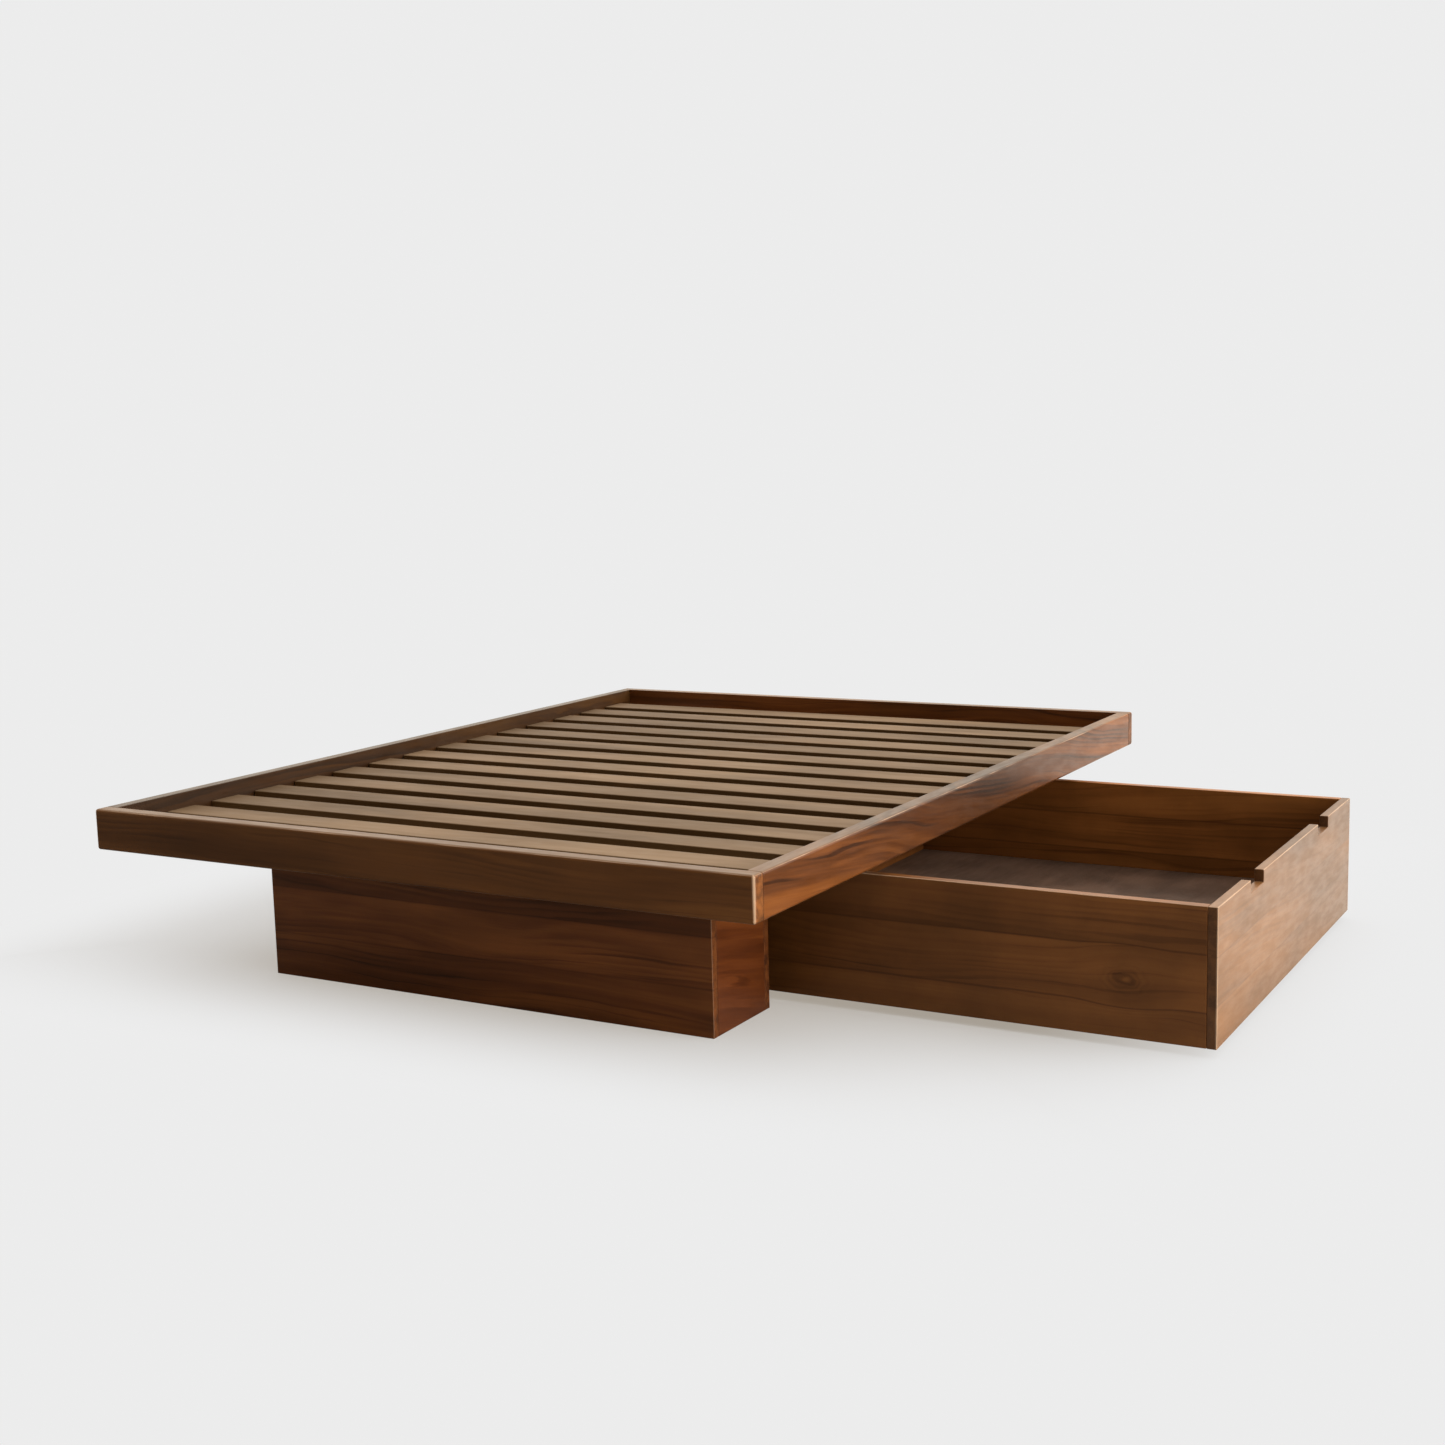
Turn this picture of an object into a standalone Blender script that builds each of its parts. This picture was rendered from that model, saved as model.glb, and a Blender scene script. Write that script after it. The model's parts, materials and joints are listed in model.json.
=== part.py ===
"""Low platform bed frame on two plinths, with one rolling drawer between them.

Metres, +Z up. The origin is on the floor, on the bed's centre line, at the middle of the foot
plinth's front board. +X points to the side where the drawer pulls out, +Y to the head end.
The drawer is modelled pulled out by DRAWER_PULLED.
"""

import math

import bmesh
import bpy
from mathutils import Vector

GAP = 0.0003  # left between pieces that touch
SHARP_ANGLE = math.radians(32)  # faces that meet at more than this stay crisp
SOFTENED_ANGLE = math.radians(40)  # edges sharper than this are sanded

# Mattress platform
MATTRESS_WIDTH = 1.524
MATTRESS_LENGTH = 2.032
MATTRESS_CLEARANCE = 0.006
BED_HEIGHT = 0.400
RAIL_HEIGHT = 0.088
RAIL_THICKNESS = 0.032
RAIL_ROUNDING = 0.006
ROUNDING_STEPS = 4
FACES_ALIKE = 0.99  # cosine of the angle within which a face points in a direction
EDGE_SOFTENING = 0.0010

SLAT_COUNT = 15
SLAT_WIDTH = 0.084
SLAT_THICKNESS = 0.020
SLAT_PITCH = 0.1355
SLAT_DROP = 0.034  # from the rail tops down to the slat tops
SLAT_END_GAP = 0.001
FIRST_SLAT_GAP = 0.004
SLAT_SOFTENING = 0.0015

LEDGER_WIDTH = 0.024
BEAM_WIDTH = 0.060
BEARER_WIDTH = 0.070
BEARER_SLATS = (3, 7, 11, 14)  # each bearer lies under one of these slats
HALVING_PLAY = 0.0005

# Plinths
PLINTH_WIDTH = 1.116
PLINTH_DEPTH = 0.2265
PLINTH_SETBACK = 0.264  # from the foot rail's outer face
PLINTH_BOARD = 0.018

# Drawer
DRAWER_DEPTH = 1.085
DRAWER_WIDTH = 1.141
DRAWER_TOP = 0.2845
DRAWER_FLOOR_CLEARANCE = 0.018
DRAWER_TO_PLINTH = 0.0555
DRAWER_PULLED = 0.892
DRAWER_FRONT_THICKNESS = 0.019
DRAWER_SIDE_THICKNESS = 0.021
DRAWER_BOTTOM_THICKNESS = 0.012
DRAWER_BOTTOM_UNDERSIDE = 0.067
DRAWER_GROOVE_DEPTH = 0.008
DRAWER_BATTEN_WIDTH = 0.060
DRAWER_BATTEN_HEIGHT = 0.022
FINGER_NOTCH_WIDTH = 0.100
FINGER_NOTCH_DEPTH = 0.025
FINGER_NOTCH_OFFSET = 0.288  # from the middle of the drawer front
GUIDE_HEIGHT = 0.070
GUIDE_PLAY = 0.010
GUIDE_SETBACK = 0.050

# Fixed casters
WHEEL_RADIUS = 0.025
WHEEL_HALF_WIDTH = 0.010
WHEEL_ROUNDING = 0.0015
HUB_RADIUS = 0.009
HUB_HALF_WIDTH = 0.0118
WEB_HALF_WIDTH = 0.007
RIM_RADIUS = 0.0185  # where the dished web meets the rim
MOULDING_DRAFT = 0.001
WHEEL_STEPS = 32
AXLE_RADIUS = 0.004
AXLE_HEAD_RADIUS = 0.0065
AXLE_HEAD_LENGTH = 0.002
AXLE_STEPS = 16
CHEEK_INNER = 0.0125
CHEEK_THICKNESS = 0.0025
CHEEK_BOTTOM = 0.016
CHEEK_TAPER = 0.4
PLATE_LENGTH = 0.060
PLATE_WIDTH = 0.070
PLATE_THICKNESS = 0.003
CASTER_INSET_X = 0.130  # from the drawer's front and back faces to the axles
CASTER_INSET_Y = 0.110  # from the drawer's outer sides to the wheels' middles

# Sizes and places that follow from the ones above
BED_WIDTH = MATTRESS_WIDTH + 2 * (MATTRESS_CLEARANCE + RAIL_THICKNESS)
BED_LENGTH = MATTRESS_LENGTH + 2 * (MATTRESS_CLEARANCE + RAIL_THICKNESS)
BED_SIDE = BED_WIDTH / 2
RAIL_INNER_SIDE = BED_SIDE - RAIL_THICKNESS
FOOT_Y = -PLINTH_SETBACK - PLINTH_BOARD / 2
HEAD_Y = FOOT_Y + BED_LENGTH
RAIL_BOTTOM = BED_HEIGHT - RAIL_HEIGHT
SLAT_TOP = BED_HEIGHT - SLAT_DROP
SUPPORT_TOP = SLAT_TOP - SLAT_THICKNESS - GAP
HALVING_Z = (RAIL_BOTTOM + SUPPORT_TOP) / 2
PLINTH_TOP = RAIL_BOTTOM - GAP
PLINTH_SIDE = PLINTH_WIDTH / 2
FOOT_PLINTH_Y = -PLINTH_BOARD / 2
DRAWER_FOOT_Y = FOOT_PLINTH_Y + PLINTH_DEPTH + DRAWER_TO_PLINTH
DRAWER_HEAD_Y = DRAWER_FOOT_Y + DRAWER_WIDTH
HEAD_PLINTH_Y = DRAWER_HEAD_Y + DRAWER_TO_PLINTH
DRAWER_FRONT_X = PLINTH_SIDE + DRAWER_PULLED
DRAWER_BACK_X = DRAWER_FRONT_X - DRAWER_DEPTH
DRAWER_BOTTOM_TOP = DRAWER_BOTTOM_UNDERSIDE + DRAWER_BOTTOM_THICKNESS


def clear_scene():
    for obj in list(bpy.data.objects):
        bpy.data.objects.remove(obj, do_unlink=True)


def material(name, colour, roughness, metallic=0.0):
    made = bpy.data.materials.new(name)
    made.use_nodes = True
    shader = made.node_tree.nodes["Principled BSDF"]
    shader.inputs["Base Color"].default_value = (*colour, 1.0)
    shader.inputs["Roughness"].default_value = roughness
    shader.inputs["Metallic"].default_value = metallic
    made.diffuse_color = (*colour, 1.0)
    return made


def make_materials():
    return {
        "rail": material("rail_wood", (0.100, 0.038, 0.013), 0.34),
        "slat": material("slat_wood", (0.100, 0.055, 0.030), 0.38),
        "plinth": material("plinth_wood", (0.100, 0.034, 0.011), 0.36),
        "support": material("support_wood", (0.30, 0.19, 0.10), 0.60),
        "drawer": material("drawer_wood", (0.130, 0.055, 0.018), 0.36),
        "drawer_floor": material("drawer_floor_wood", (0.100, 0.068, 0.050), 0.45),
        "steel": material("caster_steel", (0.55, 0.56, 0.57), 0.35, 1.0),
        "wheel": material("wheel_plastic", (0.035, 0.035, 0.037), 0.50),
    }


def empty_at(name, location):
    obj = bpy.data.objects.new(name, None)
    obj.location = location
    bpy.context.scene.collection.objects.link(obj)
    return obj


def finish_mesh(name, bm):
    bmesh.ops.recalc_face_normals(bm, faces=bm.faces)
    mesh = bpy.data.meshes.new(name)
    bm.to_mesh(mesh)
    bm.free()
    mesh.shade_smooth()
    mesh.set_sharp_from_angle(angle=SHARP_ANGLE)
    return mesh


def add_object(name, mesh, centre, look, parent=None):
    """Links an object whose mesh is built round its own centre, given in world coordinates."""
    obj = bpy.data.objects.new(name, mesh)
    if look is not None:
        mesh.materials.clear()
        mesh.materials.append(look)
    obj.location = Vector(centre)
    if parent is not None:
        obj.parent = parent
        obj.location = Vector(centre) - parent.location
    bpy.context.scene.collection.objects.link(obj)
    return obj


def soften(obj, width=EDGE_SOFTENING):
    bevel = obj.modifiers.new("soft_edges", "BEVEL")
    bevel.width = width
    bevel.segments = 1
    bevel.limit_method = "ANGLE"
    bevel.angle_limit = SOFTENED_ANGLE
    return obj


def box_bmesh(low, high):
    """A box round its own centre, and that centre."""
    low, high = Vector(low), Vector(high)
    bm = bmesh.new()
    bmesh.ops.create_cube(bm, size=1.0)
    bmesh.ops.scale(bm, vec=high - low, verts=bm.verts)
    return bm, (low + high) / 2


def board(name, low, high, look, parent=None, softening=EDGE_SOFTENING):
    bm, centre = box_bmesh(low, high)
    return soften(add_object(name, finish_mesh(name, bm), centre, look, parent), softening)


def rounded_rail(name, low, high, outer, look):
    """A board whose edges between two of the outer directions are rounded."""
    bm, centre = box_bmesh(low, high)
    bm.normal_update()
    directions = [Vector(direction) for direction in outer]

    def is_outer(face):
        return any(face.normal.dot(direction) > FACES_ALIKE for direction in directions)

    edges = [edge for edge in bm.edges if all(is_outer(face) for face in edge.link_faces)]
    bmesh.ops.bevel(
        bm,
        geom=edges,
        offset=RAIL_ROUNDING,
        segments=ROUNDING_STEPS,
        profile=0.5,
        affect="EDGES",
    )
    return soften(add_object(name, finish_mesh(name, bm), centre, look))


def prism(name, outline, axis, low, high, look, parent=None):
    """An outline of (across, z) points, in world metres, extruded along X or Y from low to high."""
    across = [point[0] for point in outline]
    heights = [point[1] for point in outline]
    middle_across = (min(across) + max(across)) / 2
    middle_z = (min(heights) + max(heights)) / 2
    half = (high - low) / 2
    bm = bmesh.new()
    ends = []
    for along in (-half, half):
        ring = []
        for u, z in outline:
            u, z = u - middle_across, z - middle_z
            ring.append(bm.verts.new((along, u, z) if axis == "X" else (u, along, z)))
        ends.append(ring)
        bm.faces.new(ring)
    count = len(outline)
    for i in range(count):
        j = (i + 1) % count
        bm.faces.new((ends[0][i], ends[0][j], ends[1][j], ends[1][i]))
    middle = (low + high) / 2
    if axis == "X":
        centre = (middle, middle_across, middle_z)
    else:
        centre = (middle_across, middle, middle_z)
    return add_object(name, finish_mesh(name, bm), centre, look, parent)


def turned_mesh(name, profile, steps, closed):
    """Turns (radius, along Y) points about the Y axis. A closed profile gives a ring."""
    bm = bmesh.new()
    rings = []
    for radius, along in profile:
        if radius == 0:
            rings.append([bm.verts.new((0, along, 0))] * steps)
            continue
        ring = []
        for step in range(steps):
            angle = 2 * math.pi * step / steps
            ring.append(bm.verts.new((radius * math.sin(angle), along, radius * math.cos(angle))))
        rings.append(ring)
    pairs = list(zip(rings, rings[1:]))
    if closed:
        pairs.append((rings[-1], rings[0]))
    for first, second in pairs:
        for i in range(steps):
            j = (i + 1) % steps
            corners = (first[i], first[j], second[j], second[i])
            bm.faces.new(list(dict.fromkeys(corners)))
    return finish_mesh(name, bm)


def cutter(name, low, high, parent=None):
    bm, centre = box_bmesh(low, high)
    obj = add_object(name, finish_mesh(name, bm), centre, None, parent)
    hide_cutter(obj)
    return obj


def hide_cutter(obj):
    obj.hide_render = True
    obj.display_type = "WIRE"


def cut(obj, tool):
    boolean = obj.modifiers.new("cut_" + tool.name, "BOOLEAN")
    boolean.operation = "DIFFERENCE"
    boolean.solver = "EXACT"
    boolean.object = tool


def make_rails(looks):
    """The end rails run the full width and lap the ends of the side rails."""
    up, down = (0, 0, 1), (0, 0, -1)
    left, right = (-1, 0, 0), (1, 0, 0)
    for name, y, out in (
        ("foot_rail", FOOT_Y, (0, -1, 0)),
        ("head_rail", HEAD_Y - RAIL_THICKNESS, (0, 1, 0)),
    ):
        low = (-BED_SIDE, y, RAIL_BOTTOM)
        high = (BED_SIDE, y + RAIL_THICKNESS, BED_HEIGHT)
        rounded_rail(name, low, high, (left, right, out, up, down), looks["rail"])
    for name, x, out in (
        ("left_side_rail", -BED_SIDE, left),
        ("right_side_rail", RAIL_INNER_SIDE, right),
    ):
        low = (x, FOOT_Y + RAIL_THICKNESS + GAP, RAIL_BOTTOM)
        high = (x + RAIL_THICKNESS, HEAD_Y - RAIL_THICKNESS - GAP, BED_HEIGHT)
        rounded_rail(name, low, high, (out, up, down), looks["rail"])


def make_ledgers(looks):
    """Strips along the inside of the rails, which hold the slat ends and the centre beam."""
    outer = RAIL_INNER_SIDE - GAP
    inner = outer - LEDGER_WIDTH
    foot = FOOT_Y + RAIL_THICKNESS + GAP
    head = HEAD_Y - RAIL_THICKNESS - GAP
    for name, x in (("left_ledger", -outer), ("right_ledger", inner)):
        low = (x, foot, RAIL_BOTTOM)
        high = (x + LEDGER_WIDTH, head, SUPPORT_TOP)
        board(name, low, high, looks["support"])
    for name, y in (("foot_ledger", foot), ("head_ledger", head - LEDGER_WIDTH)):
        low = (-inner + GAP, y, RAIL_BOTTOM)
        high = (inner - GAP, y + LEDGER_WIDTH, SUPPORT_TOP)
        board(name, low, high, looks["support"])


def slat_y(number):
    """The foot-side edge of a slat, counted from 1 at the foot."""
    return FOOT_Y + RAIL_THICKNESS + FIRST_SLAT_GAP + (number - 1) * SLAT_PITCH


def make_slats(looks):
    end = RAIL_INNER_SIDE - SLAT_END_GAP
    for number in range(1, SLAT_COUNT + 1):
        y = slat_y(number)
        low = (-end, y, SLAT_TOP - SLAT_THICKNESS)
        high = (end, y + SLAT_WIDTH, SLAT_TOP)
        board(f"slat_{number:02d}", low, high, looks["slat"], softening=SLAT_SOFTENING)


def bearer_y(slat_number):
    return slat_y(slat_number) + (SLAT_WIDTH - BEARER_WIDTH) / 2


def make_bearers(looks):
    """Cross pieces on the plinths, halved on top to take the centre beam."""
    end = RAIL_INNER_SIDE - LEDGER_WIDTH - 2 * GAP
    notch = BEAM_WIDTH / 2 + HALVING_PLAY
    floor = HALVING_Z - HALVING_PLAY / 2
    outline = [
        (-end, RAIL_BOTTOM),
        (end, RAIL_BOTTOM),
        (end, SUPPORT_TOP),
        (notch, SUPPORT_TOP),
        (notch, floor),
        (-notch, floor),
        (-notch, SUPPORT_TOP),
        (-end, SUPPORT_TOP),
    ]
    for number, slat_number in enumerate(BEARER_SLATS, start=1):
        y = bearer_y(slat_number)
        obj = prism(f"bearer_{number}", outline, "Y", y, y + BEARER_WIDTH, looks["support"])
        soften(obj)


def make_centre_beam(looks):
    """Runs from the foot ledger to the head ledger, halved underneath over each bearer."""
    foot = FOOT_Y + RAIL_THICKNESS + LEDGER_WIDTH + 2 * GAP
    head = HEAD_Y - RAIL_THICKNESS - LEDGER_WIDTH - 2 * GAP
    ceiling = HALVING_Z + HALVING_PLAY / 2
    outline = [(foot, RAIL_BOTTOM)]
    for slat_number in BEARER_SLATS:
        start = bearer_y(slat_number) - HALVING_PLAY
        end = start + BEARER_WIDTH + 2 * HALVING_PLAY
        outline += [(start, RAIL_BOTTOM), (start, ceiling), (end, ceiling), (end, RAIL_BOTTOM)]
    outline += [(head, RAIL_BOTTOM), (head, SUPPORT_TOP), (foot, SUPPORT_TOP)]
    half = BEAM_WIDTH / 2
    soften(prism("centre_beam", outline, "X", -half, half, looks["support"]))


def make_plinth(prefix, y, looks):
    """An open-bottomed box: the long boards lap the end boards, with a rib in the middle."""
    far = y + PLINTH_DEPTH
    for name, start in ((prefix + "_front", y), (prefix + "_back", far - PLINTH_BOARD)):
        low = (-PLINTH_SIDE, start, 0)
        high = (PLINTH_SIDE, start + PLINTH_BOARD, PLINTH_TOP)
        board(name, low, high, looks["plinth"])
    inner_low, inner_high = y + PLINTH_BOARD + GAP, far - PLINTH_BOARD - GAP
    for name, x, look in (
        (prefix + "_left_end", -PLINTH_SIDE, looks["plinth"]),
        (prefix + "_right_end", PLINTH_SIDE - PLINTH_BOARD, looks["plinth"]),
        (prefix + "_rib", -PLINTH_BOARD / 2, looks["support"]),
    ):
        low = (x, inner_low, 0)
        high = (x + PLINTH_BOARD, inner_high, PLINTH_TOP)
        board(name, low, high, look)


def make_plinth_sides(looks):
    """The board that closes the far side, and the two guides that keep the drawer straight."""
    foot = FOOT_PLINTH_Y + PLINTH_DEPTH + GAP
    head = HEAD_PLINTH_Y - GAP
    inner_x = -PLINTH_SIDE + PLINTH_BOARD
    low = (-PLINTH_SIDE, foot, 0)
    high = (inner_x, head, PLINTH_TOP)
    board("plinth_side_panel", low, high, looks["plinth"])
    for name, start, end in (
        ("foot_drawer_guide", foot, DRAWER_FOOT_Y - GUIDE_PLAY),
        ("head_drawer_guide", DRAWER_HEAD_Y + GUIDE_PLAY, head),
    ):
        low = (inner_x + GAP, start, 0)
        high = (PLINTH_SIDE - GUIDE_SETBACK, end, GUIDE_HEIGHT)
        board(name, low, high, looks["support"])


def drawer_front_outline():
    """The drawer front seen from outside, as (y, z), with two notches in its top edge."""
    middle = (DRAWER_FOOT_Y + DRAWER_HEAD_Y) / 2
    notch_floor = DRAWER_TOP - FINGER_NOTCH_DEPTH
    outline = [
        (DRAWER_FOOT_Y, DRAWER_FLOOR_CLEARANCE),
        (DRAWER_HEAD_Y, DRAWER_FLOOR_CLEARANCE),
        (DRAWER_HEAD_Y, DRAWER_TOP),
    ]
    for centre in (middle + FINGER_NOTCH_OFFSET, middle - FINGER_NOTCH_OFFSET):
        near, far = centre - FINGER_NOTCH_WIDTH / 2, centre + FINGER_NOTCH_WIDTH / 2
        outline += [(far, DRAWER_TOP), (far, notch_floor), (near, notch_floor), (near, DRAWER_TOP)]
    outline.append((DRAWER_FOOT_Y, DRAWER_TOP))
    return outline


def make_drawer_box(drawer, looks):
    """Front, back and sides grooved for the bottom panel, with a batten under its middle."""
    front_inner = DRAWER_FRONT_X - DRAWER_FRONT_THICKNESS
    back_inner = DRAWER_BACK_X + DRAWER_FRONT_THICKNESS
    foot_inner = DRAWER_FOOT_Y + DRAWER_SIDE_THICKNESS
    head_inner = DRAWER_HEAD_Y - DRAWER_SIDE_THICKNESS
    bottom, top = DRAWER_FLOOR_CLEARANCE, DRAWER_TOP
    look = looks["drawer"]

    outline = drawer_front_outline()
    front = prism("drawer_front", outline, "X", front_inner, DRAWER_FRONT_X, look, drawer)
    soften(front)
    walls = [front]
    for name, y in (("drawer_foot_side", DRAWER_FOOT_Y), ("drawer_head_side", head_inner)):
        low = (DRAWER_BACK_X, y, bottom)
        high = (front_inner - GAP, y + DRAWER_SIDE_THICKNESS, top)
        walls.append(board(name, low, high, look, drawer))
    low = (DRAWER_BACK_X, foot_inner + GAP, bottom)
    high = (back_inner, head_inner - GAP, top)
    walls.append(board("drawer_back", low, high, look, drawer))

    groove_low = Vector((back_inner, foot_inner, DRAWER_BOTTOM_UNDERSIDE))
    groove_low -= Vector((DRAWER_GROOVE_DEPTH, DRAWER_GROOVE_DEPTH, 0))
    groove_high = Vector((front_inner, head_inner, DRAWER_BOTTOM_TOP))
    groove_high += Vector((DRAWER_GROOVE_DEPTH, DRAWER_GROOVE_DEPTH, 0))
    groove = cutter("drawer_groove_cutter", groove_low, groove_high, drawer)
    for wall in walls:
        cut(wall, groove)

    gap = Vector((GAP, GAP, GAP))
    panel_low, panel_high = groove_low + gap, groove_high - gap
    board("drawer_bottom", panel_low, panel_high, looks["drawer_floor"], drawer)

    middle = (DRAWER_FOOT_Y + DRAWER_HEAD_Y) / 2
    half = DRAWER_BATTEN_WIDTH / 2
    low = (back_inner + GAP, middle - half, DRAWER_BOTTOM_UNDERSIDE - DRAWER_BATTEN_HEIGHT)
    high = (front_inner - GAP, middle + half, DRAWER_BOTTOM_UNDERSIDE)
    board("drawer_centre_batten", low, high, looks["support"], drawer)


def wheel_mesh():
    bore = AXLE_RADIUS + GAP
    half_profile = [
        (bore, -HUB_HALF_WIDTH),
        (HUB_RADIUS, -HUB_HALF_WIDTH),
        (HUB_RADIUS + MOULDING_DRAFT, -WEB_HALF_WIDTH),
        (RIM_RADIUS - MOULDING_DRAFT, -WEB_HALF_WIDTH),
        (RIM_RADIUS, -WHEEL_HALF_WIDTH),
        (WHEEL_RADIUS - WHEEL_ROUNDING, -WHEEL_HALF_WIDTH),
        (WHEEL_RADIUS, -WHEEL_HALF_WIDTH + WHEEL_ROUNDING),
    ]
    mirrored = [(radius, -along) for radius, along in reversed(half_profile)]
    return turned_mesh("caster_wheel", half_profile + mirrored, WHEEL_STEPS, closed=True)


def axle_mesh():
    seat = CHEEK_INNER + CHEEK_THICKNESS + GAP
    half_profile = [
        (0, -seat - AXLE_HEAD_LENGTH),
        (AXLE_HEAD_RADIUS, -seat - AXLE_HEAD_LENGTH),
        (AXLE_HEAD_RADIUS, -seat),
        (AXLE_RADIUS, -seat),
    ]
    mirrored = [(radius, -along) for radius, along in reversed(half_profile)]
    return turned_mesh("caster_axle", half_profile + mirrored, AXLE_STEPS, closed=False)


def bracket_outline(y):
    """The bracket seen along its rolling direction, as (y, z): a top plate and two cheeks."""
    top = DRAWER_BOTTOM_UNDERSIDE
    under = top - PLATE_THICKNESS
    half, outer = PLATE_WIDTH / 2, CHEEK_INNER + CHEEK_THICKNESS
    return [
        (y - half, top),
        (y - half, under),
        (y - outer, under),
        (y - outer, CHEEK_BOTTOM),
        (y - CHEEK_INNER, CHEEK_BOTTOM),
        (y - CHEEK_INNER, under),
        (y + CHEEK_INNER, under),
        (y + CHEEK_INNER, CHEEK_BOTTOM),
        (y + outer, CHEEK_BOTTOM),
        (y + outer, under),
        (y + half, under),
        (y + half, top),
    ]


def make_caster(number, x, y, meshes, drawer, looks):
    name = f"caster_{number}"
    low_x, high_x = x - PLATE_LENGTH / 2, x + PLATE_LENGTH / 2
    outline = bracket_outline(y)
    bracket = prism(name + "_bracket", outline, "X", low_x, high_x, looks["steel"], drawer)
    cheek_ends = min(vert.co.z for vert in bracket.data.vertices)
    for vert in bracket.data.vertices:
        if vert.co.z - cheek_ends < GAP:
            vert.co.x *= CHEEK_TAPER

    centre = (x, y, WHEEL_RADIUS)
    hole = add_object(name + "_hole_cutter", meshes["hole"], centre, None, drawer)
    hide_cutter(hole)
    cut(bracket, hole)
    add_object(name + "_axle", meshes["axle"], centre, looks["steel"], drawer)
    add_object(name + "_wheel", meshes["wheel"], centre, looks["wheel"], drawer)


def make_casters(drawer, looks):
    reach = PLATE_WIDTH / 2
    hole_radius = AXLE_RADIUS + GAP
    hole_profile = [(0, -reach), (hole_radius, -reach), (hole_radius, reach), (0, reach)]
    meshes = {
        "wheel": wheel_mesh(),
        "axle": axle_mesh(),
        "hole": turned_mesh("axle_hole", hole_profile, AXLE_STEPS, closed=False),
    }
    number = 0
    for x in (DRAWER_FRONT_X - CASTER_INSET_X, DRAWER_BACK_X + CASTER_INSET_X):
        for y in (DRAWER_FOOT_Y + CASTER_INSET_Y, DRAWER_HEAD_Y - CASTER_INSET_Y):
            number += 1
            make_caster(number, x, y, meshes, drawer, looks)


def main():
    clear_scene()
    looks = make_materials()
    make_rails(looks)
    make_ledgers(looks)
    make_slats(looks)
    make_bearers(looks)
    make_centre_beam(looks)
    make_plinth("foot_plinth", FOOT_PLINTH_Y, looks)
    make_plinth("head_plinth", HEAD_PLINTH_Y, looks)
    make_plinth_sides(looks)
    drawer = empty_at("drawer_slide", (DRAWER_BACK_X, (DRAWER_FOOT_Y + DRAWER_HEAD_Y) / 2, 0))
    make_drawer_box(drawer, looks)
    make_casters(drawer, looks)
    bpy.context.view_layer.update()


main()
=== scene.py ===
"""Looks of the platform bed frame: stained wood, zinc-plated casters, stage, light and camera."""

import json
import math
import random

import bmesh
import bpy
from mathutils import Matrix, Vector


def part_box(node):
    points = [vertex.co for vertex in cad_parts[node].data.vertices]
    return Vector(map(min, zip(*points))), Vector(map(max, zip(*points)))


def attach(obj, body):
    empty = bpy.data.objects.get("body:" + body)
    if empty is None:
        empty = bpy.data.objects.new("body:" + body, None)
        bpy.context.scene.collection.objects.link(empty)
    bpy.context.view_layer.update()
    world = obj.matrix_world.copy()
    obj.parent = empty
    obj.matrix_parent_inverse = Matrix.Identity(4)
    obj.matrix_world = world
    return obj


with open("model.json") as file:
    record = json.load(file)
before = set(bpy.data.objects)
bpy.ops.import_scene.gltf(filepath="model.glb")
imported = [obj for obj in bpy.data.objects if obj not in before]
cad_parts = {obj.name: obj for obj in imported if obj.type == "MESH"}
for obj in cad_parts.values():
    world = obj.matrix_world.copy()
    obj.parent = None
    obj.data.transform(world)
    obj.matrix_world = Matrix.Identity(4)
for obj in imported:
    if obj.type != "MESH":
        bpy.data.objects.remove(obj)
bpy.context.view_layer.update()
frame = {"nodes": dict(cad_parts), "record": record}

NODES = frame["nodes"]
FAR_AWAY = 9.0  # metres, for a seam or knot that a board doesn't have


# ---------------------------------------------------------------- shader building


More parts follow.
